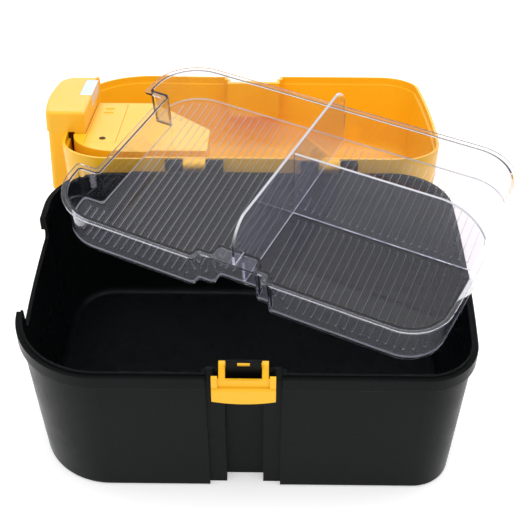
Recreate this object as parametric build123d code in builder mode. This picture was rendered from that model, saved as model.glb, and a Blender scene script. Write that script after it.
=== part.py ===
from build123d import *
from math import asin, atan2, cos, degrees, hypot, sqrt
import os

# Storage tool box: an open base, a lid swung right back, and a clear tray laid across the rim.
# Millimetres. X runs to the right along the front, Y to the rear, Z up from the table.
# The origin is on the table under the middle of the base.

# Plan of the box at its rim
rim_width = 324.0
rim_depth = 225.0
side_bow = 4.5
front_left_corner = 62.0
front_right_corner = 37.0
rear_corner = 45.0

# Base
base_height = 126.0
wall = 2.6
floor_thickness = 3.0
skirt_height = 12.0
skirt_step = 2.5
wall_lean = 5.5
floor_round = 6.0
foot_round = 2.5
tongue_height = 1.5
tongue_inset = 3.2
tongue_thickness = 1.7

# Two-step channel down the front wall, and the lamp cut-out in the left wall
channel_half_width = 25.7
channel_depth = 4.2
slot_half_width = 13.3
slot_depth = 12.0
cutout_front_margin = 62.5
cutout_rear_margin = 60.5
cutout_depth = 18.0
cutout_round = 5.0

# Hinge
hinge_out = 4.5
hinge_rise = 2.5
hinge_middle = 9.5
hinge_spacing = 109.0
tab_width = 14.2
tab_gap = 18.6
knuckle_radius = 4.2
tab_drop = 16.0
pin_radius = 1.5
running_gap = 0.08
side_gap = 0.3

# Latch lever
latch_inboard = 7.9
latch_rise = 3.8
latch_bar_radius = 1.9
arm_radius = 3.2
arm_inner = 12.3
arm_width = 4.4
lever_half_width = 21.6
lever_length = 23.6
lever_front = 8.8
lever_drop = 5.0
plate_thickness = 1.8
rail_width = 4.2
grip_height = 11.5
grip_reach = 2.4
grip_belly = 2.4
block_drop = 16.0
block_cover = 1.3
block_lip = 0.8
notch_depth = 4.0
tab_height = 6.9
tab_thickness = 1.5
window_half_width = 4.2
window_height = 4.6
window_rise = 1.4
ear_width = 6.4
ear_rise = 2.4
ear_thickness = 2.8

# Lid
lid_height = 81.5
lid_lean = 6.6
lid_round = 20.0
lid_seat_gap = 0.3
lid_inset = 0.4
rim_band = 6.5
band_wall = 2.4
ledge_wall = 4.2
pocket_half_width = 22.6
pocket_height = 33.0
pocket_clear = 0.8

# Carry handle in a recess in the lid's top
recess_half_length = 58.0
recess_half_width = 22.0
recess_depth = 25.0
recess_round = 12.0
handle_middle = 0.0
handle_width = 18.0
handle_height = 12.0
handle_round = 4.0
handle_sink = 0.8

# Lamp at the left end of the lid
lamp_reach = 14.0
lamp_height = 56.0
lamp_far_round = 14.0
lamp_near_round = 5.0
lamp_top_round = 4.0
lamp_side_gap = 0.6
head_drop = 18.0
head_reach = 0.5
head_bulge = 5.0
head_wall = 2.0
head_near_round = 6.0
head_far_round = 16.0
head_edge_round = 3.0
head_tall = 61.0
end_wall_length = 9.0
post_radius = 2.5
lens_margin = 15.4
lens_height = 42.0
lens_round = 12.0
lens_rise = 28.0
lens_thickness = 3.0
lens_gap = 0.2
lens_proud = 0.4
reflector_wall = 1.5
reflector_back_round = 8.0
reflector_back = 22.0
reflector_flange = 2.0
led_board_size = 30.0
led_board_thickness = 1.6
led_radius = 4.0
led_length = 3.6
light_window_length = 44.0
light_window_width = 11.0
light_window_drop = 12.0
light_window_front = -39.5
light_window_gap = 0.15
head_lip_width = 2.5
head_lip_height = 1.4
head_lip_length = 9.0

# Battery housing inside the lid
housing_face = 1.1
housing_plate = 2.2
housing_wall = 2.0
housing_height = 40.0
housing_rear_margin = 19.5
housing_front = -30.0
housing_waist = 43.0
housing_step_gap = 0.2
housing_corner = 42.0
cover_front = -25.0
cover_rear = 72.5
cover_thickness = 1.9
cover_gap = 0.3
ridge_length = 8.0
ridge_radius = 0.9
ridge_spacing = 10.7
ridge_front = -13.7
cell_radius = 5.25
cell_length = 44.5
cell_gap = 0.4
cell_nub_radius = 1.9
cell_nub_length = 0.8
cells_middle = 13.0
well_end_gap = 2.2
contact_thickness = 0.5
contact_gap = 0.2
spring_radius = 3.0
spring_pitch = 0.85
spring_turns = 3.0
spring_wire = 0.25
cover_screw_y = 63.0
cover_screw_sink = 1.0

# Switch and circuit board
switch_y = 58.0
button_radius = 7.0
button_proud = 2.4
button_flange = 2.0
button_flange_thickness = 1.8
button_travel = 1.5
stem_radius = 2.4
button_gap = 0.3
board_length = 46.0
board_width = 30.0
board_thickness = 1.6
board_drop = 20.0
board_peg_radius = 1.4
board_boss_radius = 3.0
board_boss_spacing = 36.0
switch_size = 12.0
switch_height = 7.0
fit_gap = 0.1
screw_gap = 0.05

# Distances in from the box's left end
reflector_back_in = 8.8
head_inner_in = 18.5
housing_far_left_in = 9.0
housing_left_in = 19.1
housing_arc_in = 47.0
housing_slant_in = 70.0
housing_right_in = 126.0
cover_left_in = 20.7
cover_right_in = 47.0
ridge_in = 32.0
cover_screw_in = 35.0
switch_in = 62.0
tray_lamp_notch_in = 26.1

# Screws
screw_radius = 1.5
screw_head_radius = 2.7
screw_head_height = 1.6
screw_length = 10.0
boss_radius = 4.5
screw_socket_radius = 1.2
screw_socket_depth = 1.0

# Wires
wire_radius = 0.8
wire_spacing = 4.0

# Tray, drawn level about its own middle
tray_shorter = 10.0
tray_flange_inset = 5.0
tray_wall_inset = 8.0
tray_left_corner = 47.0
tray_lean = 0.9
tray_height = 31.6
tray_wall = 1.8
tray_floor = 2.0
tray_flange = 1.8
tray_corner = 3.0
tray_outer_notch = 28.5
tray_outer_notch_depth = 6.9
tray_inner_notch = 15.8
tray_inner_notch_depth = 16.5
tray_notch_front_gap = 2.6
tray_notch_rear_gap = 0.6
divider_thickness = 2.0
divider_x = 2.5
divider_gap = 0.25
divider_height = 66.0
divider_slope = 7.0
divider_front_flat = 79.0
divider_front_drop = 8.0
divider_front_curl = 3.2
divider_front_shoulder = 9.0
divider_rear_flat = 79.0
divider_rear_drop = 16.0
divider_rear_curl = 3.0
divider_rear_step = 3.0
cross_y = 0.3
cross_height = 60.5
cross_flat = 34.0
cross_shoulder = 12.0
cross_shoulder_drop = 8.5
cross_end_rise = 4.5
rib_pitch = 6.2
rib_width = 1.2
rib_height = 0.8
rib_margin = 6.0
rib_turn = 4.0

# How the tray lies across the open base
tray_pivot_x = 3.3
tray_pivot_y = -2.0
tray_x = 33.7
tray_y = 51.2
tray_rise = 4.3
tray_turn = -25.9
tray_pitch = 3.7
tray_roll = -0.8

# Values that follow from the sizes above
front = -rim_depth / 2
rear = rim_depth / 2
left = -rim_width / 2
cutout_front = front + cutout_front_margin
cutout_rear = rear - cutout_rear_margin
body_top = base_height - skirt_height
body_inset = skirt_step + wall_lean
band_top = base_height - tongue_height
cavity_inset = tongue_inset + tongue_thickness
hinge_y = rear + hinge_out
hinge_z = base_height + hinge_rise
latch_y = front + latch_inboard
latch_z = base_height + latch_rise
lid_low = band_top + lid_seat_gap
lid_top = lid_low + lid_height
cutout_low = base_height - cutout_depth
far_out = 30.0
sliver = 0.02
tray_front = front + tray_shorter / 2
tray_rear = rear - tray_shorter / 2
reflector_back_x = left + reflector_back_in
head_inner = -left - head_inner_in
housing_rear = rear - housing_rear_margin
housing_step = cutout_rear + housing_step_gap
housing_far_left = left + housing_far_left_in
housing_left = left + housing_left_in
housing_arc_right = left + housing_arc_in
housing_slant = left + housing_slant_in
housing_right = left + housing_right_in
cover_left = left + cover_left_in
cover_right = left + cover_right_in
ridge_x = left + ridge_in
cover_screw_x = left + cover_screw_in
switch_x = left + switch_in
tray_lamp_notch_x = left + tray_lamp_notch_in


def wall_inset(height):
    """How far the base's outer wall stands in from the rim at a height."""
    return body_inset - wall_lean * height / body_top


def lid_wall_inset(height):
    """How far the lid's outer wall stands in from the rim at a height, with the lid closed."""
    return lid_inset + lid_lean * (height - lid_low) / lid_height


def plan(inset, shorter=0.0, left_corner=front_left_corner):
    """The box's outline seen from above, drawn in by an inset, and made less deep for the tray."""
    half_depth = (rim_depth - shorter) / 2
    bow_radius = (half_depth**2 + side_bow**2) / (2 * side_bow)
    bow_middle = rim_width / 2 - bow_radius
    deep = half_depth - inset
    wide = bow_middle + sqrt((bow_radius - inset) ** 2 - deep**2)
    widest = rim_width / 2 - inset
    with BuildSketch() as outline:
        with BuildLine():
            Line((-wide, -deep), (wide, -deep))
            ThreePointArc((wide, -deep), (widest, 0), (wide, deep))
            Line((wide, deep), (-wide, deep))
            ThreePointArc((-wide, deep), (-widest, 0), (-wide, -deep))
        make_face()
        fillet(outline.vertices().group_by(Axis.Y)[0].sort_by(Axis.X)[0], left_corner - inset)
        fillet(outline.vertices().group_by(Axis.Y)[0].sort_by(Axis.X)[-1], front_right_corner - inset)
        fillet(outline.vertices().group_by(Axis.Y)[-1], rear_corner - inset)
    return outline.sketch


def leaning_shell(low, low_inset, high, high_inset):
    """A solid between two heights whose outline changes evenly from one inset to the other."""
    with BuildPart() as shell:
        with BuildSketch(Plane.XY.offset(low)):
            add(plan(low_inset))
        with BuildSketch(Plane.XY.offset(high)):
            add(plan(high_inset))
        loft(ruled=True)
    return shell.part


def box_between(low, high):
    """A plain block from its low corner to its high corner."""
    size = [b - a for a, b in zip(low, high)]
    return Pos(*low) * Box(*size, align=(Align.MIN, Align.MIN, Align.MIN), mode=Mode.PRIVATE)


def side_profile(points, half_width):
    """A solid drawn in the side view, as (y, z) points, and extruded both ways along X."""
    with BuildPart() as solid:
        with BuildSketch(Plane.YZ):
            with BuildLine():
                Polyline(*points, close=True)
            make_face()
        extrude(amount=half_width, both=True)
    return solid.part


def front_channel(half_width, depth, low, high):
    """The space of a channel down the base's front wall, whose back leans as the wall does."""
    back_low = front + wall_inset(low) + depth
    back_high = front + wall_inset(high) + depth
    points = [(front - far_out, low), (back_low, low), (back_high, high), (front - far_out, high)]
    return side_profile(points, half_width)


# Base shell: the space inside it first, then the shell around it

with BuildPart() as base_space:
    add(leaning_shell(floor_thickness, wall_inset(floor_thickness) + wall, base_height + 1, cavity_inset))
    fillet(base_space.edges().group_by(Axis.Z)[0], floor_round)
    add(front_channel(channel_half_width + wall, channel_depth + wall, 0, base_height + 1), mode=Mode.SUBTRACT)
    add(front_channel(slot_half_width + wall, slot_depth + wall, 0, base_height + 1), mode=Mode.SUBTRACT)

tab_low = hinge_z - tab_drop
knuckle_front = (hinge_y - knuckle_radius, hinge_z)
knuckle_rear = (hinge_y + knuckle_radius, hinge_z)


def hinge_tab(middle):
    """One of the base's hinge tabs, with the hole for the pin."""
    with BuildPart() as tab:
        with BuildSketch(Plane.YZ.offset(middle - tab_width / 2)):
            with BuildLine():
                ThreePointArc(knuckle_front, (hinge_y, hinge_z + knuckle_radius), knuckle_rear)
                Polyline(knuckle_rear, (rear - 1, tab_low), (rear - 1, band_top - 0.5),
                         (hinge_y - knuckle_radius, band_top - 0.5), knuckle_front)
            make_face()
            with Locations((hinge_y, hinge_z)):
                Circle(pin_radius, mode=Mode.SUBTRACT)
        extrude(amount=tab_width)
    return tab.part


hinge_centres = [hinge_middle - hinge_spacing / 2, hinge_middle + hinge_spacing / 2]
tab_shift = (tab_gap + tab_width) / 2
block_half_width = arm_inner - 0.5
bore_radius = latch_bar_radius + running_gap
block_roof = latch_z + block_lip
bearing_back = latch_y + bore_radius + block_cover
notch_low = base_height - notch_depth
notch_inner = arm_inner - 0.4
notch_outer = arm_inner + arm_width + 0.5
block_front = latch_y - latch_bar_radius - running_gap - tab_thickness
block_back = front + wall_inset(base_height) + slot_depth + wall / 2
block_top = latch_z + tab_height
window_low = latch_z + window_rise

with BuildPart() as base_shell:
    add(leaning_shell(0, wall_inset(0), body_top, wall_inset(body_top)))
    fillet(base_shell.edges().group_by(Axis.Z)[0], foot_round)
    with BuildSketch(Plane.XY.offset(body_top)):
        add(plan(0))
    extrude(amount=skirt_height - tongue_height)
    with BuildSketch(Plane.XY.offset(band_top)):
        add(plan(tongue_inset))
    extrude(amount=tongue_height)
    add(front_channel(channel_half_width, channel_depth, -1, base_height + 1), mode=Mode.SUBTRACT)
    add(front_channel(slot_half_width, slot_depth, -1, base_height + 1), mode=Mode.SUBTRACT)
    add(base_space.part, mode=Mode.SUBTRACT)
    with BuildSketch(Plane.YZ.offset(left - 1)):
        with Locations(((cutout_front + cutout_rear) / 2, cutout_low + far_out / 2)):
            RectangleRounded(cutout_rear - cutout_front, far_out, cutout_round)
    extrude(amount=far_out, mode=Mode.SUBTRACT)
    for centre in hinge_centres:
        for side in (-1, 1):
            add(hinge_tab(centre + side * tab_shift))
    for side in (-1, 1):
        ear_middle = side * (channel_half_width - ear_width / 2)
        with Locations((ear_middle, front + channel_depth + wall_inset(base_height) + wall / 2, body_top)):
            Box(ear_width, ear_thickness, skirt_height + ear_rise, align=(Align.CENTER, Align.CENTER, Align.MIN))
    for side in (-1, 1):
        with Locations((side * (notch_inner + notch_outer) / 2, latch_y, notch_low)):
            Box(notch_outer - notch_inner, 3 * arm_radius, far_out,
                align=(Align.CENTER, Align.CENTER, Align.MIN), mode=Mode.SUBTRACT)
    add(box_between((-block_half_width, block_front, latch_z - block_drop),
                    (block_half_width, block_back, base_height - tongue_height)))
    add(box_between((-block_half_width, block_front, latch_z - block_drop),
                    (block_half_width, bearing_back, block_roof)))
    add(box_between((-block_half_width, block_front, latch_z),
                    (block_half_width, block_front + tab_thickness, block_top)))
    add(box_between((-slot_half_width, block_front, latch_z - block_drop),
                    (slot_half_width, block_back, notch_low)))
    with Locations(Location((0, latch_y, latch_z), (0, 90, 0))):
        Cylinder(bore_radius, 2 * channel_half_width, mode=Mode.SUBTRACT)
    add(box_between((-window_half_width, block_front - 1, window_low),
                    (window_half_width, latch_y, window_low + window_height)), mode=Mode.SUBTRACT)

# Hinge pins, pressed into the base's tabs


def hinge_pin(centre):
    """A steel pin through two tabs and the lid's knuckle between them."""
    length = 2 * tab_width + tab_gap
    with BuildPart() as pin:
        with Locations(Location((centre, hinge_y, hinge_z), (0, 90, 0))):
            Cylinder(pin_radius, length)
        chamfer(pin.edges(), pin_radius / 4)
    return pin.part


hinge_pin_left = hinge_pin(hinge_centres[0])
hinge_pin_right = hinge_pin(hinge_centres[1])

# Latch lever: two arms on a bar, a plate framed by rails, and a grip along the lower edge

plate_front = latch_y - lever_front
plate_back = plate_front + plate_thickness
plate_top = latch_z - lever_drop
lever_low = latch_z - lever_length
grip_top = lever_low + grip_height

arm_points = [
    (latch_y - arm_radius, latch_z),
    (plate_front, plate_top - 1.0),
    (plate_front, grip_top),
    (plate_back, grip_top),
    (plate_back, plate_top - 2.0),
    (latch_y - arm_radius * 0.4, latch_z - arm_radius * 0.9),
]

with BuildPart() as latch_lever:
    with Locations(Location((0, latch_y, latch_z), (0, 90, 0))):
        Cylinder(latch_bar_radius, 2 * arm_inner + 1)
    for side in (-1, 1):
        arm_middle = side * (arm_inner + arm_width / 2)
        with Locations(Location((arm_middle, latch_y, latch_z), (0, 90, 0))):
            Cylinder(arm_radius, arm_width)
        with Locations((arm_middle, 0, 0)):
            add(side_profile(arm_points, arm_width / 2))
        rail_middle = side * (lever_half_width - rail_width / 2)
        add(Pos(rail_middle, 0, 0) * box_between((-rail_width / 2, plate_front - grip_reach / 2, grip_top - 2),
                                                 (rail_width / 2, plate_back, latch_z - arm_radius + 0.4)))
    add(box_between((-lever_half_width, plate_front, grip_top - 2), (lever_half_width, plate_back, plate_top)))
    with BuildSketch(Plane.XZ.offset(-plate_back)):
        with BuildLine():
            Polyline((-lever_half_width, lever_low), (-lever_half_width, grip_top),
                     (lever_half_width, grip_top), (lever_half_width, lever_low))
            ThreePointArc((lever_half_width, lever_low), (0, lever_low - grip_belly), (-lever_half_width, lever_low))
        make_face()
    extrude(amount=plate_thickness + grip_reach)
    grip_edges = latch_lever.edges().filter_by(GeomType.LINE).filter_by(Axis.X).group_by(Axis.Y)[0]
    fillet(grip_edges, grip_reach * 0.6)

# Lid, drawn closed on the base; every lid piece is swung open at the end

lamp_left = left - lamp_reach
lamp_front = cutout_front + lamp_side_gap
lamp_rear = cutout_rear - lamp_side_gap
lamp_middle = (lamp_front + lamp_rear) / 2
lamp_top = lid_low + lamp_height
lamp_depth = lamp_reach + 2 * lamp_near_round
head_low = lid_low - head_drop
head_left = lamp_left - head_reach
head_side = -head_inner - head_wall
lens_z = lid_low + lens_rise
board_back = reflector_back_x + led_board_thickness
lens_face = lamp_left - lens_proud
lens_length = lamp_rear - lamp_front - 2 * lens_margin
ceiling = lid_top - wall
pocket_back = latch_y + lever_front + pocket_clear
bolt_back = pocket_back + grip_reach + pocket_clear
pocket_top = lid_low + pocket_height
recess_floor = lid_top - recess_depth
board_top = lid_top - board_drop
board_low = board_top - board_thickness
housing_low = lid_low + housing_face
bed_low = housing_low + housing_plate
cover_high = housing_low + cover_thickness
cells_x = (cover_left + cover_right) / 2
cell_step = 2 * cell_radius + cell_gap
cell_heights = [cover_high + cell_gap + cell_radius + step * cell_step for step in (0, 1)]
well_half_width = cell_step / 2 + cell_radius + cell_gap
well_half_length = cell_length / 2 + well_end_gap
well_floor = cell_heights[1] + cell_radius + 2 * side_gap + screw_head_height
well_top = well_floor + housing_wall
housing_screw_spots = [(cells_x, cells_middle - cell_length * 0.4), (cells_x, cells_middle + cell_length * 0.4)]
board_boss_spots = [(switch_x - board_boss_spacing / 2, switch_y), (switch_x + board_boss_spacing / 2, switch_y)]
handle_screw_z = lid_top - handle_sink - handle_height / 2


def facing_left(length, height, radius, x, thickness):
    """A rounded rectangle that faces left or right, from x inwards."""
    with BuildPart() as slab:
        with BuildSketch(Plane.YZ.offset(x)):
            with Locations((lamp_middle, lens_z)):
                RectangleRounded(length, height, radius)
        extrude(amount=thickness)
    return slab.part


def lamp_outline(x, length, near_round, far_round):
    """The lamp end's outline seen from above, with its own radius at the front and at the rear corner."""
    with BuildSketch() as outline:
        with Locations((x + length / 2, lamp_middle)):
            Rectangle(length, lamp_rear - lamp_front)
        left_corners = outline.vertices().group_by(Axis.X)[0].sort_by(Axis.Y)
        fillet(left_corners[0], far_round)
        left_corners = outline.vertices().group_by(Axis.X)[0].sort_by(Axis.Y)
        fillet(left_corners[-1], near_round)
    return outline.sketch


def screw_along_z(x, y, z):
    """A screw pointing up, with its head's upper side at a height and a cross in the head."""
    with BuildPart() as screw:
        with Locations((x, y, z)):
            Cylinder(screw_radius, screw_length, align=(Align.CENTER, Align.CENTER, Align.MIN))
        with Locations((x, y, z - screw_head_height)):
            Cylinder(screw_head_radius, screw_head_height, align=(Align.CENTER, Align.CENTER, Align.MIN))
            for turn in (0, 90):
                Box(2 * screw_socket_radius * 1.4, screw_socket_radius * 0.6, 2 * screw_socket_depth,
                    rotation=(0, 0, turn), mode=Mode.SUBTRACT)
    return screw.part


with BuildPart() as lamp_bump:
    with BuildSketch(Plane.XY.offset(lid_low)):
        add(lamp_outline(lamp_left, lamp_depth, lamp_near_round, lamp_far_round))
    extrude(amount=lamp_height)
    fillet(lamp_bump.edges().group_by(Axis.Z)[-1].filter_by_position(
        Axis.X, lamp_left - 1, lamp_left + lamp_depth - sliver), lamp_top_round)

with BuildPart() as lamp_space:
    add(box_between((lamp_left + wall, lamp_front + wall, lid_low - 1),
                    (-head_inner, lamp_rear - wall, lamp_top - wall)))
    space_corners = lamp_space.edges().filter_by(Axis.Z).group_by(Axis.X)[0].sort_by(Axis.Y)
    fillet(space_corners[0], lamp_far_round - wall)

with BuildPart() as lid_space:
    add(leaning_shell(lid_low + rim_band, lid_inset + ledge_wall,
                      lid_top - wall, lid_wall_inset(lid_top) + wall))
    fillet(lid_space.edges().group_by(Axis.Z)[-1], lid_round - wall)
    add(leaning_shell(lid_low - 1, lid_inset + band_wall, lid_low + rim_band + sliver, lid_inset + band_wall))
    add(box_between((-channel_half_width - wall, front - 1, lid_low - 1),
                    (channel_half_width + wall, front + 2 * channel_depth + wall, pocket_top + wall)),
        mode=Mode.SUBTRACT)
    add(box_between((-pocket_half_width - wall, front - 1, lid_low - 1),
                    (pocket_half_width + wall, bolt_back + wall, pocket_top + wall)), mode=Mode.SUBTRACT)
    with BuildSketch(Plane.XY.offset(recess_floor - wall)):
        with Locations((0, handle_middle)):
            RectangleRounded(2 * (recess_half_length + wall), 2 * (recess_half_width + wall), recess_round + wall)
    extrude(amount=recess_depth, mode=Mode.SUBTRACT)

arm_profile = [
    (hinge_y, hinge_z + knuckle_radius),
    (rear - lid_inset - band_wall + 0.5, hinge_z + knuckle_radius),
    (rear - lid_inset - band_wall + 0.5, lid_low + side_gap),
    (hinge_y, lid_low + side_gap),
]

with BuildPart() as lid_shell:
    add(leaning_shell(lid_low, lid_inset, lid_top, lid_wall_inset(lid_top)))
    fillet(lid_shell.edges().group_by(Axis.Z)[-1], lid_round)
    add(lamp_bump.part)
    add(lid_space.part, mode=Mode.SUBTRACT)
    add(lamp_space.part, mode=Mode.SUBTRACT)
    add(facing_left(lens_length + 2 * lens_gap, lens_height + 2 * lens_gap, lens_round + lens_gap,
                    lamp_left - 1, lamp_reach), mode=Mode.SUBTRACT)
    add(box_between((-channel_half_width, front - 1, lid_low - 1),
                    (channel_half_width, front + 2 * channel_depth, pocket_top)), mode=Mode.SUBTRACT)
    add(box_between((-pocket_half_width, front - 1, lid_low - 1),
                    (pocket_half_width, pocket_back, pocket_top)), mode=Mode.SUBTRACT)
    add(box_between((-pocket_half_width, front - 1, lid_low + grip_height),
                    (pocket_half_width, bolt_back, pocket_top)), mode=Mode.SUBTRACT)
    with BuildSketch(Plane.XY.offset(recess_floor)):
        with Locations((0, handle_middle)):
            RectangleRounded(2 * recess_half_length, 2 * recess_half_width, recess_round)
    extrude(amount=recess_depth + 1, mode=Mode.SUBTRACT)
    with Locations(*[(x, y, well_top) for x, y in housing_screw_spots]):
        Cylinder(boss_radius, ceiling + sliver - well_top, align=(Align.CENTER, Align.CENTER, Align.MIN))
        Cylinder(screw_radius + screw_gap, screw_length, align=(Align.CENTER, Align.CENTER, Align.MIN),
                 mode=Mode.SUBTRACT)
    with Locations(*[(x, y, board_top) for x, y in board_boss_spots]):
        Cylinder(board_boss_radius, ceiling + sliver - board_top, align=(Align.CENTER, Align.CENTER, Align.MIN))
    with Locations(*[(x, y, board_low - side_gap) for x, y in board_boss_spots]):
        Cylinder(board_peg_radius, board_thickness + 2 * side_gap, align=(Align.CENTER, Align.CENTER, Align.MIN))
    with Locations((switch_x, switch_y, lid_top)):
        Cylinder(button_radius + button_gap, 4 * wall, mode=Mode.SUBTRACT)
    for side in (-1, 1):
        with Locations(Location((side * (recess_half_length + wall / 2), handle_middle, handle_screw_z), (0, 90, 0))):
            Cylinder(screw_radius + screw_gap, 2 * wall, mode=Mode.SUBTRACT)
    for centre in hinge_centres:
        add(Pos(centre, 0, 0) * side_profile(arm_profile, tab_gap / 2 - side_gap))
        with Locations(Location((centre, hinge_y, hinge_z), (0, 90, 0))):
            Cylinder(knuckle_radius, tab_gap - 2 * side_gap)
            Cylinder(pin_radius + running_gap, tab_gap, mode=Mode.SUBTRACT)

# Lamp head: the cap under the lamp chamber, with a tall wall towards the lid's inside



def head_outline(inset, right):
    """The head's outline seen from above, drawn in by an inset, with a bowed outer side."""
    near, far = lamp_rear - inset, lamp_front + inset
    outer = head_left + inset
    with BuildSketch() as outline:
        with BuildLine():
            ThreePointArc((outer, far), (outer - head_bulge, lamp_middle), (outer, near))
            Polyline((outer, near), (right, near), (right, far), (outer, far))
        make_face()
        outer_corners = outline.vertices().group_by(Axis.X)[0].sort_by(Axis.Y)
        fillet(outer_corners[0], head_far_round - inset)
        outer_corners = outline.vertices().filter_by(lambda v: abs(v.Y - near) < sliver).sort_by(Axis.X)
        fillet(outer_corners[0], head_near_round - inset)
    return outline.sketch


with BuildPart() as head_space:
    with BuildSketch(Plane.XY.offset(head_low + head_wall)):
        add(head_outline(head_wall, head_side))
    extrude(amount=lid_top - head_low)

window_low_edge = head_low - 1
window_box = ((-head_inner - light_window_width, light_window_front, window_low_edge),
              (-head_inner + 1, light_window_front + light_window_length, head_low + light_window_drop))

with BuildPart() as lamp_head:
    with BuildSketch(Plane.XY.offset(head_low)):
        add(head_outline(0, -head_inner))
    extrude(amount=head_drop)
    fillet(lamp_head.edges().group_by(Axis.Z)[0], head_edge_round)
    add(box_between((-head_inner - end_wall_length, lamp_front, lid_low - sliver),
                    (-head_inner, lamp_rear, lid_low + head_tall)))
    add(head_space.part, mode=Mode.SUBTRACT)
    add(box_between(*window_box), mode=Mode.SUBTRACT)
    add(box_between((-head_inner - head_lip_width, lamp_front + head_edge_round, head_low - head_lip_height),
                    (-head_inner, lamp_front + head_lip_length, head_low + head_edge_round + 1)))
    with Locations(*[Location((head_side, lamp_middle + side * led_board_size / 3, lens_z), (0, -90, 0))
                     for side in (-1, 1)]):
        Cylinder(post_radius, head_side - board_back, align=(Align.CENTER, Align.CENTER, Align.MIN))

with BuildPart() as inner_light_window:
    gap = light_window_gap
    add(box_between((window_box[0][0] + gap, window_box[0][1] + gap, head_low),
                    (-head_inner, window_box[1][1] - gap, window_box[1][2] - gap)))
    add(box_between((window_box[0][0], window_box[0][1], head_low + head_wall),
                    (head_side, window_box[1][1], window_box[1][2])), mode=Mode.SUBTRACT)

# Lens, reflector, board and lamp

lamp_lens = facing_left(lens_length, lens_height, lens_round, lens_face, lens_thickness)
reflector_front_x = lens_face + lens_thickness + lens_gap


def dish(grow, start, end):
    """The reflector's funnel between two stations, larger all round by an amount."""
    with BuildPart() as funnel:
        with BuildSketch(Plane.YZ.offset(start)):
            with Locations((lamp_middle, lens_z)):
                RectangleRounded(lens_length - 2 + 2 * grow, lens_height - 2 + 2 * grow, lens_round)
        with BuildSketch(Plane.YZ.offset(end)):
            with Locations((lamp_middle, lens_z)):
                RectangleRounded(reflector_back + 2 * grow, reflector_back + 2 * grow, reflector_back_round)
        loft(ruled=True)
    return funnel.part


with BuildPart() as lamp_reflector:
    add(dish(reflector_wall, reflector_front_x, reflector_back_x))
    add(facing_left(lens_length + 2 * reflector_flange, lens_height + 2 * reflector_flange,
                    lens_round, reflector_front_x, reflector_wall))
    add(dish(0, reflector_front_x, reflector_back_x - reflector_wall), mode=Mode.SUBTRACT)
    with Locations(Location((reflector_back_x, lamp_middle, lens_z), (0, 90, 0))):
        Cylinder(led_radius + button_gap, 4 * reflector_wall, mode=Mode.SUBTRACT)

lamp_board = facing_left(led_board_size, led_board_size, 2, reflector_back_x, led_board_thickness)

with BuildPart() as lamp_led:
    with Locations(Location((reflector_back_x, lamp_middle, lens_z), (0, -90, 0))):
        Cylinder(led_radius, led_length, align=(Align.CENTER, Align.CENTER, Align.MIN))
    fillet(lamp_led.edges().group_by(Axis.X)[0], led_radius * 0.8)

# Battery housing, its cover and what is in it


def housing_outline(inset):
    """The battery housing's outline seen from above, drawn in by an inset."""
    with BuildSketch() as outline:
        with BuildLine():
            RadiusArc((housing_far_left, housing_step), (housing_arc_right, housing_rear), housing_corner)
            Polyline((housing_arc_right, housing_rear), (housing_right, housing_rear), (housing_right, housing_waist),
                     (housing_slant, housing_front), (housing_left, housing_front), (housing_left, housing_step),
                     (housing_far_left, housing_step))
        make_face()
        if inset > 0:
            offset(amount=-inset, mode=Mode.REPLACE)
    return outline.sketch


with BuildPart() as battery_housing:
    with BuildSketch(Plane.XY.offset(housing_low)):
        add(housing_outline(0))
    extrude(amount=housing_height)
    with BuildSketch(Plane.XY.offset(bed_low)):
        add(housing_outline(housing_wall))
    extrude(amount=housing_height, mode=Mode.SUBTRACT)
    add(box_between((housing_left, cover_front - housing_wall, bed_low),
                    (cover_right + housing_wall, cover_rear + housing_wall, bed_low + housing_wall)))
    add(box_between((cells_x - well_half_width - housing_wall, cells_middle - well_half_length - housing_wall,
                     bed_low),
                    (cells_x + well_half_width + housing_wall, cells_middle + well_half_length + housing_wall,
                     well_top)))
    with Locations((cover_screw_x, cover_screw_y, bed_low)):
        Cylinder(boss_radius, screw_length + housing_wall, align=(Align.CENTER, Align.CENTER, Align.MIN))
        Cylinder(screw_radius + running_gap, 2 * screw_length + 2, mode=Mode.SUBTRACT)
    add(box_between((cells_x - well_half_width, cells_middle - well_half_length, housing_low),
                    (cells_x + well_half_width, cells_middle + well_half_length, well_floor)), mode=Mode.SUBTRACT)
    add(box_between((cover_left - cover_gap, cover_front - cover_gap, housing_low - 1),
                    (cover_right + cover_gap, cover_rear + cover_gap, bed_low)), mode=Mode.SUBTRACT)
    with Locations(*[(x, y, well_floor) for x, y in housing_screw_spots]):
        Cylinder(screw_radius + screw_gap, 3 * housing_wall, mode=Mode.SUBTRACT)

with BuildPart() as battery_cover:
    add(box_between((cover_left, cover_front, housing_low), (cover_right, cover_rear, cover_high)))
    with Locations((cover_screw_x, cover_screw_y, housing_low)):
        Cylinder(screw_head_radius + fit_gap, 2 * cover_screw_sink, mode=Mode.SUBTRACT)
        Cylinder(screw_radius + fit_gap, 4 * cover_thickness, mode=Mode.SUBTRACT)
    for index in (0, 1):
        with Locations(Location((ridge_x, ridge_front + index * ridge_spacing, housing_low), (0, 90, 0))):
            Cylinder(ridge_radius, ridge_length)

battery_cover_screw = screw_along_z(cover_screw_x, cover_screw_y, housing_low + cover_screw_sink)

with BuildPart() as housing_screws:
    for x, y in housing_screw_spots:
        add(screw_along_z(x, y, well_floor))

cell_spots = [(side, cell_height) for cell_height in cell_heights for side in (-1, 1)]
plate_half = cell_radius * 0.8
cell_slack = well_half_length - cell_length / 2 - contact_thickness - contact_gap

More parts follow.
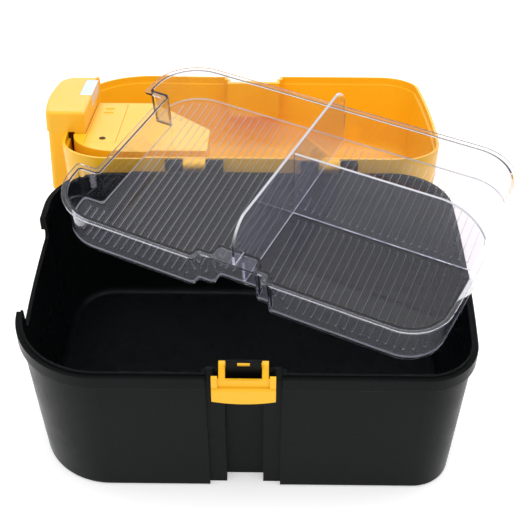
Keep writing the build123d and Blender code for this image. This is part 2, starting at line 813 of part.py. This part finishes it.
with BuildPart() as battery_cells:
    for index, (side, cell_height) in enumerate(cell_spots):
        way = 1 if index in (0, 3) else -1
        middle = cells_middle + way * cell_slack
        cell_x = cells_x + side * cell_step / 2
        with Locations(Location((cell_x, middle - way * cell_length / 2, cell_height), (-90 * way, 0, 0))):
            Cylinder(cell_radius, cell_length - cell_nub_length, align=(Align.CENTER, Align.CENTER, Align.MIN))
            Cylinder(cell_nub_radius, cell_length, align=(Align.CENTER, Align.CENTER, Align.MIN))

with BuildPart() as battery_plates:
    for cell_height in cell_heights:
        for end in (-1, 1):
            edge = cells_middle + end * (well_half_length - contact_thickness / 2)
            with Locations((cells_x, edge, cell_height)):
                Box(2 * well_half_width - 2, contact_thickness, 2 * plate_half)

with BuildPart() as spring:
    with BuildLine() as spring_path:
        Helix(spring_pitch, spring_pitch * spring_turns, spring_radius)
    with BuildSketch(Plane(origin=spring_path.line @ 0, z_dir=spring_path.line % 0)):
        Circle(spring_wire)
    sweep()

with BuildPart() as battery_springs:
    for index, (side, cell_height) in enumerate(cell_spots):
        way = 1 if index in (0, 3) else -1
        spring_start = cells_middle - way * (well_half_length - contact_thickness - spring_wire * 1.2)
        spot = Location((cells_x + side * cell_step / 2, spring_start, cell_height), (-90 * way, 0, 0))
        add(spring.part.moved(spot))

# Switch, its board and button

with BuildPart() as circuit_board:
    with Locations((switch_x, switch_y, board_low)):
        Box(board_length, board_width, board_thickness, align=(Align.CENTER, Align.CENTER, Align.MIN))
    with Locations(*[(x, y, board_low) for x, y in board_boss_spots]):
        Cylinder(board_peg_radius + screw_gap, 4 * board_thickness, mode=Mode.SUBTRACT)

with BuildPart() as switch_body:
    with Locations((switch_x, switch_y, board_top)):
        Box(switch_size, switch_size, switch_height, align=(Align.CENTER, Align.CENTER, Align.MIN))
    chamfer(switch_body.edges().group_by(Axis.Z)[-1], button_gap)

stem_low = board_top + switch_height + button_travel + side_gap
flange_high = ceiling - side_gap

with BuildPart() as switch_button:
    with Locations((switch_x, switch_y, stem_low)):
        Cylinder(stem_radius, flange_high - stem_low, align=(Align.CENTER, Align.CENTER, Align.MIN))
    with Locations((switch_x, switch_y, flange_high - button_flange_thickness)):
        Cylinder(button_radius + button_flange, button_flange_thickness,
                 align=(Align.CENTER, Align.CENTER, Align.MIN))
        Cylinder(button_radius, lid_top + button_proud - flange_high + button_flange_thickness,
                 align=(Align.CENTER, Align.CENTER, Align.MIN))
    fillet(switch_button.edges().group_by(Axis.Z)[-1], button_proud / 2)

# Carry handle across the recess

with BuildPart() as carry_handle:
    with Locations((0, handle_middle, lid_top - handle_sink - handle_height)):
        Box(2 * recess_half_length - 2 * fit_gap, handle_width, handle_height,
            align=(Align.CENTER, Align.CENTER, Align.MIN))
    fillet(carry_handle.edges().filter_by(Axis.X), handle_round)
    for side in (-1, 1):
        with Locations(Location((side * recess_half_length, handle_middle, handle_screw_z), (0, 90, 0))):
            Cylinder(screw_radius + screw_gap, 2 * screw_length, mode=Mode.SUBTRACT)

with BuildPart() as handle_screws:
    for side in (-1, 1):
        spot = Location((side * (recess_half_length + wall), handle_middle, handle_screw_z), (0, -90 * side, 0))
        add(screw_along_z(0, 0, 0).moved(spot))

# Wires


def wire_along(points):
    """A wire through a list of points."""
    with BuildPart() as wire:
        with BuildLine() as path:
            Spline(*points)
        with BuildSketch(Plane(origin=path.line @ 0, z_dir=path.line % 0)):
            Circle(wire_radius)
        sweep()
    return wire.part


board_edge = switch_x - board_length / 2
over_wall = lid_low + head_tall + 5

with BuildPart() as lamp_wires:
    for side in (-1, 1):
        y = lamp_middle + side * wire_spacing / 2
        board_y = switch_y - 10 + side * wire_spacing / 2
        add(wire_along([(board_back + wire_radius, y, lens_z + 2), (board_back + 3, y, lens_z + 14),
                        (board_back + 3, y, over_wall - 6), (-head_inner + 2, y + 3, over_wall),
                        (board_edge - 6, board_y, board_top + 4), (board_edge + 4, board_y, board_top + 1.4)]))

with BuildPart() as battery_wires:
    for side in (-1, 1):
        x = cells_x + side * wire_spacing / 2
        far_x = switch_x - 10 + side * wire_spacing / 2
        add(wire_along([(x, cells_middle, well_top + 0.5), (x, cells_middle + 2, well_top + 8),
                        (far_x - 4, switch_y - 22, board_low - 8), (far_x, switch_y - 10, board_low - 0.8)]))

# Tray, level about its own middle, with its floor's underside at zero


def tray_outline(grow, inner_notch, rounded=True):
    """The tray's outline seen from above, drawn in by an amount from the top of its wall."""
    outer_x = tray_outer_notch + grow
    inner_x = tray_inner_notch + grow
    outer_y = tray_front + tray_wall_inset + tray_outer_notch_depth + grow
    inner_y = tray_front + tray_wall_inset + tray_inner_notch_depth + grow
    lamp_x = tray_lamp_notch_x + grow
    lamp_y = [cutout_front - tray_notch_front_gap - grow, cutout_rear + tray_notch_rear_gap + grow]
    with BuildSketch() as outline:
        add(plan(tray_wall_inset + grow, tray_shorter, tray_left_corner))
        with Locations((0, outer_y - far_out / 2)):
            Rectangle(2 * outer_x, far_out, mode=Mode.SUBTRACT)
        if inner_notch:
            with Locations((0, inner_y - far_out / 2)):
                Rectangle(2 * inner_x, far_out, mode=Mode.SUBTRACT)
        with Locations((lamp_x - rim_width / 4, sum(lamp_y) / 2)):
            Rectangle(rim_width / 2, lamp_y[1] - lamp_y[0], mode=Mode.SUBTRACT)
        corners = [
            v for v in outline.vertices()
            if min(abs(abs(v.X) - outer_x), abs(abs(v.X) - inner_x), abs(v.Y - lamp_y[0]), abs(v.Y - lamp_y[1])) < sliver
        ]
        if rounded:
            fillet(corners, tray_corner)
    return outline.sketch


def tray_block(low, low_grow, high, high_grow):
    """A solid between two heights whose outline leans from one to the other."""
    with BuildPart() as block:
        with BuildSketch(Plane.XY.offset(low)):
            add(tray_outline(low_grow, True))
        with BuildSketch(Plane.XY.offset(high)):
            add(tray_outline(high_grow, True))
        loft(ruled=True)
    return block.part


def tray_lean_at(height):
    """How far the tray's wall has leaned in at a height."""
    return tray_lean * (1 - height / tray_height)


with BuildSketch() as rib_ground:
    add(tray_outline(tray_lean + tray_wall + rib_margin, True, False))
    with Locations((divider_x, 0)):
        Rectangle(divider_thickness + 2 * rib_margin, rim_depth, mode=Mode.SUBTRACT)
    with Locations((divider_x + rim_width / 2, cross_y)):
        Rectangle(rim_width, divider_thickness + 2 * rib_margin, mode=Mode.SUBTRACT)

turned_ground = rib_ground.sketch.rotate(Axis.Z, -rib_turn)
ground_reach = turned_ground.bounding_box()
rib_count = int(ground_reach.size.X / rib_pitch)

with BuildSketch() as rib_rows:
    for index in range(rib_count):
        x = ground_reach.min.X + (index + 0.5) * rib_pitch
        with BuildSketch(mode=Mode.PRIVATE) as strip:
            add(turned_ground)
            with Locations((x, 0)):
                Rectangle(rib_width, 2 * rim_depth, mode=Mode.INTERSECT)
        for face in strip.faces():
            reach = face.bounding_box()
            if reach.size.Y > 2 * rib_margin:
                with Locations((x, reach.center().Y)):
                    SlotOverall(reach.size.Y, rib_width, rotation=90)

with BuildPart() as tray_shell:
    add(tray_block(0, tray_lean, tray_height - tray_flange, tray_lean_at(tray_height - tray_flange)))
    with BuildSketch(Plane.XY.offset(tray_height - tray_flange)):
        add(tray_outline(tray_flange_inset - tray_wall_inset, False))
    extrude(amount=tray_flange)
    add(tray_block(tray_floor, tray_lean_at(tray_floor) + tray_wall, tray_height + 1, tray_wall), mode=Mode.SUBTRACT)
    with BuildSketch(Plane.XY.offset(tray_floor)):
        add(rib_rows.sketch.rotate(Axis.Z, rib_turn))
    extrude(amount=rib_height)

inner_front = tray_front + tray_wall_inset + tray_inner_notch_depth + tray_wall + divider_gap
inner_rear = tray_rear - tray_wall_inset - tray_wall - divider_gap
inner_right = rim_width / 2 - tray_wall_inset - tray_wall - divider_gap
flange_front = tray_front + tray_outer_notch_depth + tray_flange_inset
above_flange = tray_height + divider_gap
divider_end = inner_rear - divider_rear_step
rear_height = divider_height - divider_slope
front_shoulder = (flange_front + divider_front_curl, divider_height - divider_front_shoulder)
rear_shoulder = ((divider_rear_flat + divider_end) / 2 + divider_rear_curl, rear_height - divider_rear_drop / 3)

with BuildPart() as long_divider:
    with BuildSketch(Plane.YZ.offset(divider_x - divider_thickness / 2)):
        with BuildLine():
            Polyline((inner_rear - tray_lean, tray_floor), (inner_front + tray_lean, tray_floor),
                     (inner_front, tray_height), (inner_front, above_flange),
                     (flange_front, above_flange), (flange_front, above_flange + divider_front_drop))
            ThreePointArc((flange_front, above_flange + divider_front_drop),
                          front_shoulder, (-divider_front_flat, divider_height))
            Line((-divider_front_flat, divider_height), (divider_rear_flat, rear_height))
            ThreePointArc((divider_rear_flat, rear_height), rear_shoulder,
                          (divider_end, rear_height - divider_rear_drop))
            Polyline((divider_end, rear_height - divider_rear_drop), (divider_end, above_flange),
                     (inner_rear - divider_gap, tray_height - tray_flange), (inner_rear - tray_lean, tray_floor))
        make_face()
    extrude(amount=divider_thickness)

cross_start = divider_x + divider_thickness / 2 + divider_gap
cross_end_height = above_flange + cross_end_rise
cross_flat_end = inner_right - cross_flat
cross_bend = (inner_right - cross_shoulder, cross_height - cross_shoulder_drop)

with BuildPart() as cross_divider:
    with BuildSketch(Plane.XZ.offset(-cross_y - divider_thickness / 2)):
        with BuildLine():
            Polyline((cross_start, cross_height), (cross_start, tray_floor), (inner_right - tray_lean, tray_floor),
                     (inner_right, tray_height), (inner_right, cross_end_height))
            ThreePointArc((inner_right, cross_end_height), cross_bend, (cross_flat_end, cross_height))
            Line((cross_flat_end, cross_height), (cross_start, cross_height))
        make_face()
    extrude(amount=divider_thickness)

# Swing the lid open until its far edge rests on the table, and lay the tray in place

round_lean = atan2(lid_lean, lid_height)
round_z = lid_top - lid_round
round_reach = hinge_y - front - lid_wall_inset(round_z) - lid_round / cos(round_lean)
round_arm = hypot(round_reach, round_z - hinge_z)
tilt = degrees(asin((hinge_z - lid_round) / round_arm) - atan2(round_z - hinge_z, round_reach))
lid_swing = Pos(0, hinge_y, hinge_z) * Rot(-180 - tilt, 0, 0) * Pos(0, -hinge_y, -hinge_z)
tray_rest = (Pos(tray_x, tray_y, base_height + tray_rise) * Rot(0, tray_roll, 0) * Rot(tray_pitch, 0, 0)
             * Rot(0, 0, tray_turn) * Pos(-tray_pivot_x, -tray_pivot_y, 0))

base_pieces = {
    "base_shell": base_shell.part,
    "hinge_pin_left": hinge_pin_left,
    "hinge_pin_right": hinge_pin_right,
    "latch_lever": latch_lever.part,
}
lid_pieces = {
    "lid_shell": lid_shell.part,
    "lamp_head": lamp_head.part,
    "inner_light_window": inner_light_window.part,
    "lamp_lens": lamp_lens,
    "lamp_reflector": lamp_reflector.part,
    "lamp_board": lamp_board,
    "lamp_led": lamp_led.part,
    "battery_housing": battery_housing.part,
    "battery_cover": battery_cover.part,
    "battery_cover_screw": battery_cover_screw,
    "housing_screws": housing_screws.part,
    "battery_cells": battery_cells.part,
    "battery_plates": battery_plates.part,
    "battery_springs": battery_springs.part,
    "circuit_board": circuit_board.part,
    "switch_body": switch_body.part,
    "switch_button": switch_button.part,
    "carry_handle": carry_handle.part,
    "handle_screws": handle_screws.part,
    "lamp_wires": lamp_wires.part,
    "battery_wires": battery_wires.part,
}
tray_pieces = {
    "tray_shell": tray_shell.part,
    "long_divider": long_divider.part,
    "cross_divider": cross_divider.part,
}

placed = dict(base_pieces)
placed.update({name: piece.moved(lid_swing) for name, piece in lid_pieces.items()})
placed.update({name: piece.moved(tray_rest) for name, piece in tray_pieces.items()})

os.makedirs("parts", exist_ok=True)
for name, piece in placed.items():
    piece.label = name
    export_step(piece, f"parts/{name}.step")
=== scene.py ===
import math

import bpy
from mathutils import Matrix, Vector

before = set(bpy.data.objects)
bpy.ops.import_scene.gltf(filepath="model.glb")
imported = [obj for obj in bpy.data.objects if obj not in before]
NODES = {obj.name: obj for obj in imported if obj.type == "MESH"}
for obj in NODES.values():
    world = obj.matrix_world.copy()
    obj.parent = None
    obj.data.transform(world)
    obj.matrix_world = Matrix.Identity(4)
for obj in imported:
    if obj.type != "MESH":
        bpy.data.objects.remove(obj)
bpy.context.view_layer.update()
scene = bpy.context.scene

# Lengths are in metres and, where a name says so, in pixels or millimetres.

# Camera
FRAME_PIXELS = 522
FOCAL_PIXELS = 1115
SENSOR_MM = 36.0
NEAREST_SEEN = 0.01
CAMERA_PLACE = Vector((0.0157, -0.610, 0.673))
PITCH, YAW, ROLL = math.radians(41.7), math.radians(0.5), math.radians(0.16)

# The tray lies askew: its tilt, its own upward direction and a point on its underside
TRAY_TILT_X, TRAY_TILT_Y = math.radians(3.7), math.radians(-0.8)
TRAY_UP = (Matrix.Rotation(TRAY_TILT_Y, 3, "Y") @ Matrix.Rotation(TRAY_TILT_X, 3, "X")
           @ Vector((0, 0, 1)))
TRAY_FLOOR = Vector((0.0337, 0.0512, 0.1303))

# The sides of the ribs on the tray's floor, where a highlight is painted: the middle and half
# the height of their band
RIB_MIDDLE, RIB_HALF = 0.0024, 0.00034

# How much light passes straight through each clear part, from 0 to 1
# The low value on the rib sides turns them white, a painted highlight
TRAY_CLEAR, RIB_HIGHLIGHT_CLEAR = 0.995, 0.10
# The low value at the dividers' upper edges turns them white, a painted highlight
DIVIDER_CLEAR, EDGE_HIGHLIGHT_CLEAR = 0.97, 0.40

# A face counts as an upper edge, and gets a painted highlight, as its normal turns from the
# first value to the second
FACING_LOW, FACING_HIGH = 0.3, 0.7

# Materials
PLASTIC_IOR = 1.49
RIM_BLEND = 0.35
BEVEL_SAMPLES = 6
NOISE_LOW, NOISE_HIGH = 0.3, 0.7

# Surroundings
FLOOR_HALF = 6.0
FLOOR_GLOW = 0.38
WORLD_STRENGTH = 0.78
LIGHTS = [  # name, place, target, size, watts
    ("above", (0.0, 0.1, 1.6), (0, 0.1, 0), (1.6, 1.2), 14),
    ("rear", (0.2, 1.9, 0.6), (0, 0.1, 0.1), (1.6, 0.5), 7),
]


def make_camera():
    turn = Matrix.Rotation(YAW, 3, "Z")
    ahead = turn @ Vector((0, math.cos(PITCH), -math.sin(PITCH)))
    up = turn @ Vector((0, math.sin(PITCH), math.cos(PITCH)))
    right = turn @ Vector((1, 0, 0))
    right, up = (math.cos(ROLL) * right + math.sin(ROLL) * up,
                 math.cos(ROLL) * up - math.sin(ROLL) * right)
    data = bpy.data.cameras.new("camera")
    data.sensor_width = SENSOR_MM
    data.lens = FOCAL_PIXELS / FRAME_PIXELS * SENSOR_MM
    data.clip_start = NEAREST_SEEN
    camera = bpy.data.objects.new("camera", data)
    pose = Matrix((right, up, -ahead)).transposed().to_4x4()
    pose.translation = CAMERA_PLACE
    camera.matrix_world = pose
    scene.collection.objects.link(camera)
    scene.camera = camera


class Shader:
    """A node material that starts from one Principled shader."""

    def __init__(self, name, **values):
        self.material = bpy.data.materials.new(name)
        self.material.use_nodes = True
        self.tree = self.material.node_tree
        self.nodes = self.tree.nodes
        self.principled = self.nodes["Principled BSDF"]
        self.output = self.nodes["Material Output"]
        for socket, value in values.items():
            self.principled.inputs[socket].default_value = value
        self.place = self.add("ShaderNodeTexCoord").outputs["Object"]

    def add(self, kind, **values):
        node = self.nodes.new(kind)
        for key, value in values.items():
            setattr(node, key, value)
        return node

    def link(self, a, b):
        self.tree.links.new(a, b)

    def noise(self, scale, detail=3.0, roughness=0.5, stretch=None):
        """Noise over the piece's own coordinates, drawn out along an axis where asked."""
        place = self.place
        if stretch:
            mapping = self.add("ShaderNodeMapping")
            mapping.inputs["Scale"].default_value = stretch
            self.link(place, mapping.inputs["Vector"])
            place = mapping.outputs["Vector"]
        node = self.add("ShaderNodeTexNoise")
        node.inputs["Scale"].default_value = scale
        node.inputs["Detail"].default_value = detail
        node.inputs["Roughness"].default_value = roughness
        self.link(place, node.inputs["Vector"])
        return node.outputs["Fac"]

    def remap(self, source, from_low, from_high, low, high):
        node = self.add("ShaderNodeMapRange")
        node.inputs["From Min"].default_value = from_low
        node.inputs["From Max"].default_value = from_high
        node.inputs["To Min"].default_value = low
        node.inputs["To Max"].default_value = high
        self.link(source, node.inputs["Value"])
        return node.outputs["Result"]

    def along(self, source, direction):
        """How far a vector reaches in a direction."""
        node = self.add("ShaderNodeVectorMath", operation="DOT_PRODUCT")
        node.inputs[1].default_value = direction
        self.link(source, node.inputs[0])
        return node.outputs["Value"]

    def colours(self, source, first, second):
        node = self.add("ShaderNodeMix", data_type="RGBA")
        self.link(self.remap(source, NOISE_LOW, NOISE_HIGH, 0.0, 1.0), node.inputs["Factor"])
        node.inputs["A"].default_value = (*first, 1)
        node.inputs["B"].default_value = (*second, 1)
        self.link(node.outputs["Result"], self.principled.inputs["Base Color"])

    def roughness(self, source, low, high):
        self.link(self.remap(source, NOISE_LOW, NOISE_HIGH, low, high),
                  self.principled.inputs["Roughness"])

    def relief(self, source, depth, edge=0.0):
        """A grain of a given depth, over edges softened to a given radius."""
        bump = self.add("ShaderNodeBump")
        bump.inputs["Strength"].default_value = 1.0
        bump.inputs["Distance"].default_value = depth
        self.link(source, bump.inputs["Height"])
        if edge:
            bevel = self.add("ShaderNodeBevel", samples=BEVEL_SAMPLES)
            bevel.inputs["Radius"].default_value = edge
            self.link(bevel.outputs["Normal"], bump.inputs["Normal"])
        self.link(bump.outputs["Normal"], self.principled.inputs["Normal"])

    def tint_edge_on(self, rim):
        """Blend the colour towards another one where the surface is seen edge on."""
        base = self.principled.inputs["Base Color"]
        facing = self.add("ShaderNodeLayerWeight")
        facing.inputs["Blend"].default_value = RIM_BLEND
        blend = self.add("ShaderNodeMix", data_type="RGBA")
        self.link(facing.outputs["Facing"], blend.inputs["Factor"])
        self.link(base.links[0].from_socket, blend.inputs["A"])
        blend.inputs["B"].default_value = (*rim, 1)
        self.link(blend.outputs["Result"], base)

    def lets_lamps_through(self, tint):
        """Make the shadow a tinted, transparent one, so that lights reach what lies behind."""
        clear = self.add("ShaderNodeBsdfTransparent")
        clear.inputs["Color"].default_value = (*tint, 1)
        mix = self.add("ShaderNodeMixShader")
        path = self.add("ShaderNodeLightPath")
        self.link(path.outputs["Is Shadow Ray"], mix.inputs["Fac"])
        self.link(self.principled.outputs["BSDF"], mix.inputs[1])
        self.link(clear.outputs["BSDF"], mix.inputs[2])
        self.link(mix.outputs["Shader"], self.output.inputs["Surface"])


def moulded(name, first, second, low, high, grain, depth, edge, **values):
    """Moulded plastic: a slow drift of colour and gloss, a fine grain and softened edges."""
    shader = Shader(name, **values)
    shader.colours(shader.noise(scale=9.0, detail=2.0), first, second)
    shader.roughness(shader.noise(scale=60.0, detail=4.0, roughness=0.6), low, high)
    shader.relief(shader.noise(scale=grain, detail=2.0), depth, edge)
    return shader.material


def metal(name, first, second, low, high, edge):
    """Drawn metal: colour, gloss and grain run lengthwise along X."""
    shader = Shader(name, Metallic=1.0)
    shader.colours(shader.noise(scale=300.0, roughness=0.6, stretch=(1, 8, 8)), first, second)
    shader.roughness(shader.noise(scale=500.0, roughness=0.6, stretch=(1, 10, 10)), low, high)
    shader.relief(shader.noise(scale=800.0, detail=2.0, stretch=(1, 12, 12)), 0.00002, edge)
    return shader.material


def clear_plastic(name, tint, shade, low, high, edge, clear, rim=None):
    """Clear moulded plastic with a pale veil of its own, tinted where it is seen edge on."""
    shader = Shader(name, **{"Transmission Weight": clear, "IOR": PLASTIC_IOR})
    shader.colours(shader.noise(scale=30.0, detail=2.0), tint, shade)
    if rim:
        shader.tint_edge_on(rim)
    shader.roughness(shader.noise(scale=50.0, roughness=0.6), low, high)
    shader.relief(shader.noise(scale=40.0, detail=2.0), 0.000003, edge)
    shader.lets_lamps_through(tint)
    return shader


def paint_rib_highlights(shader):
    """Paint a highlight on the sides of the ribs on the tray's floor, found by their height
    above it: the clear plastic there turns white, standing in for light catching the ribs.
    """
    up = TRAY_UP.normalized()
    place = NODES["tray_shell"].matrix_world
    height = shader.along(shader.place, place.to_3x3().transposed() @ up)
    rise = shader.add("ShaderNodeMath", operation="ADD")
    rise.inputs[1].default_value = up.dot(place.translation) - up.dot(TRAY_FLOOR)
    shader.link(height, rise.inputs[0])
    near = shader.add("ShaderNodeMath", operation="COMPARE")
    near.inputs[1].default_value = RIB_MIDDLE
    near.inputs[2].default_value = RIB_HALF
    shader.link(rise.outputs["Value"], near.inputs[0])
    # Painted highlight: the band on the rib sides turns white
    amount = shader.remap(near.outputs["Value"], 0.0, 1.0, TRAY_CLEAR, RIB_HIGHLIGHT_CLEAR)
    shader.link(amount, shader.principled.inputs["Transmission Weight"])


def paint_divider_edge_highlights(shader):
    """Paint a highlight on the upper edges of the dividers: their upward faces turn white,
    standing in for the light that falls on them.
    """
    place = NODES["long_divider"].matrix_world
    normal = shader.add("ShaderNodeTexCoord").outputs["Normal"]
    facing_up = shader.along(normal, place.to_3x3().transposed() @ TRAY_UP.normalized())
    amount = shader.remap(facing_up, FACING_LOW, FACING_HIGH, DIVIDER_CLEAR, EDGE_HIGHLIGHT_CLEAR)
    shader.link(amount, shader.principled.inputs["Transmission Weight"])


black = moulded("black_plastic", (0.0034, 0.0042, 0.0044), (0.0048, 0.0056, 0.0058),
                low=0.24, high=0.34, grain=1400.0, depth=0.000012, edge=0.0008,
                **{"Specular IOR Level": 0.06})
yellow = moulded("yellow_plastic", (0.94, 0.485, 0.010), (0.95, 0.51, 0.014),
                 low=0.30, high=0.40, grain=900.0, depth=0.000010, edge=0.0007,
                 **{"Specular IOR Level": 0.3})
# The lamp head's yellow is a slightly paler copy of the yellow plastic: painted light, standing
# in for the light on its top
lamp_yellow_painted_light = moulded("pale_yellow_plastic", (0.94, 0.49, 0.020), (0.95, 0.515, 0.028),
                      low=0.30, high=0.40, grain=900.0, depth=0.000010, edge=0.0008,
                      **{"Specular IOR Level": 0.35})
tray_shader = clear_plastic("tray_clear", (0.935, 0.94, 0.975), (0.945, 0.95, 0.98),
                            low=0.01, high=0.02, edge=0.0003, clear=TRAY_CLEAR,
                            rim=(0.62, 0.62, 0.84))
paint_rib_highlights(tray_shader)
divider_shader = clear_plastic("divider_clear", (0.94, 0.94, 0.98), (0.95, 0.95, 0.985),
                               low=0.01, high=0.02, edge=0.0003, clear=DIVIDER_CLEAR,
                               rim=(0.66, 0.66, 0.88))
paint_divider_edge_highlights(divider_shader)
lens_shader = clear_plastic("lens_clear", (0.97, 0.98, 0.98), (0.98, 0.985, 0.99),
                            low=0.02, high=0.04, edge=0.0004, clear=1.0)
steel = metal("steel", (0.52, 0.52, 0.53), (0.62, 0.62, 0.62),
              low=0.22, high=0.36, edge=0.0003)
# The screw's dark olive colour is painted shade, copying the shade of the recess it sits in
steel_painted_shade = metal("steel_painted_shade", (0.07, 0.06, 0.03), (0.11, 0.09, 0.05),
                   low=0.5, high=0.65, edge=0.0003)
mirror = metal("reflector", (0.86, 0.86, 0.87), (0.90, 0.90, 0.91),
               low=0.06, high=0.12, edge=0.0004)
window = moulded("window_white", (0.80, 0.84, 0.88), (0.86, 0.88, 0.91),
                 low=0.12, high=0.22, grain=500.0, depth=0.00001, edge=0.0004,
                 **{"Subsurface Weight": 0.3})
dark = moulded("switch_black", (0.012, 0.012, 0.013), (0.018, 0.018, 0.018),
               low=0.45, high=0.6, grain=900.0, depth=0.00002, edge=0.0005)
board = moulded("board_green", (0.015, 0.11, 0.045), (0.022, 0.14, 0.06),
                low=0.35, high=0.5, grain=400.0, depth=0.00001, edge=0.0002)
board_white = moulded("board_white", (0.72, 0.72, 0.70), (0.78, 0.78, 0.76),
                      low=0.35, high=0.5, grain=400.0, depth=0.00001, edge=0.0002)
lamp_dome = moulded("led", (0.86, 0.80, 0.38), (0.90, 0.85, 0.45),
                    low=0.08, high=0.15, grain=600.0, depth=0.00001, edge=0.0003)
cell_wrap = moulded("cell_wrap", (0.11, 0.12, 0.14), (0.14, 0.15, 0.17),
                    low=0.25, high=0.35, grain=500.0, depth=0.00001, edge=0.0004)
wire_red = moulded("wire", (0.42, 0.015, 0.012), (0.5, 0.02, 0.015),
                   low=0.35, high=0.5, grain=900.0, depth=0.00001, edge=0.0)

LOOKS = {
    black: ["base_shell"],
    yellow: ["latch_lever", "lid_shell", "battery_housing", "battery_cover"],
    lamp_yellow_painted_light: ["lamp_head"],
    tray_shader.material: ["tray_shell"],
    divider_shader.material: ["long_divider", "cross_divider"],
    lens_shader.material: ["lamp_lens"],
    steel: ["hinge_pin_left", "hinge_pin_right", "housing_screws", "handle_screws",
            "battery_plates", "battery_springs"],
    steel_painted_shade: ["battery_cover_screw"],
    mirror: ["lamp_reflector"],
    window: ["inner_light_window"],
    dark: ["switch_body", "carry_handle", "switch_button"],
    board: ["circuit_board"],
    board_white: ["lamp_board"],
    lamp_dome: ["lamp_led"],
    cell_wrap: ["battery_cells"],
    wire_red: ["lamp_wires", "battery_wires"],
}


def dress(material, names):
    for name in names:
        node = NODES[name]
        node.data.materials.clear()
        node.data.materials.append(material)


def make_floor():
    """A wide white floor that gives off a little light, so that shadows on it stay faint."""
    data = bpy.data.meshes.new("floor")
    half = FLOOR_HALF
    corners = [(-half, -half, 0), (half, -half, 0), (half, half, 0), (-half, half, 0)]
    data.from_pydata(corners, [], [(0, 1, 2, 3)])
    floor = bpy.data.objects.new("floor", data)
    scene.collection.objects.link(floor)
    shader = Shader("floor_white", **{"Specular IOR Level": 0.2, "Emission Color": (1, 1, 1, 1),
                                      "Emission Strength": FLOOR_GLOW})
    shader.colours(shader.noise(scale=2.0, detail=2.0), (0.93, 0.93, 0.93), (0.95, 0.95, 0.95))
    shader.roughness(shader.noise(scale=20.0, detail=2.0), 0.6, 0.7)
    data.materials.append(shader.material)


def make_light(name, place, target, size, power):
    data = bpy.data.lights.new(name, "AREA")
    data.shape = "RECTANGLE"
    data.size, data.size_y = size
    data.energy = power
    light = bpy.data.objects.new(name, data)
    light.location = place
    aim = Vector(target) - Vector(place)
    light.rotation_euler = aim.to_track_quat("-Z", "Y").to_euler()
    scene.collection.objects.link(light)


def make_world():
    world = bpy.data.worlds.new("studio")
    world.use_nodes = True
    background = world.node_tree.nodes["Background"]
    background.inputs["Color"].default_value = (1.0, 1.0, 1.0, 1)
    background.inputs["Strength"].default_value = WORLD_STRENGTH
    scene.world = world


make_camera()
for material, names in LOOKS.items():
    dress(material, names)
make_floor()
make_world()
for light in LIGHTS:
    make_light(*light)
scene.view_settings.view_transform = "Standard"
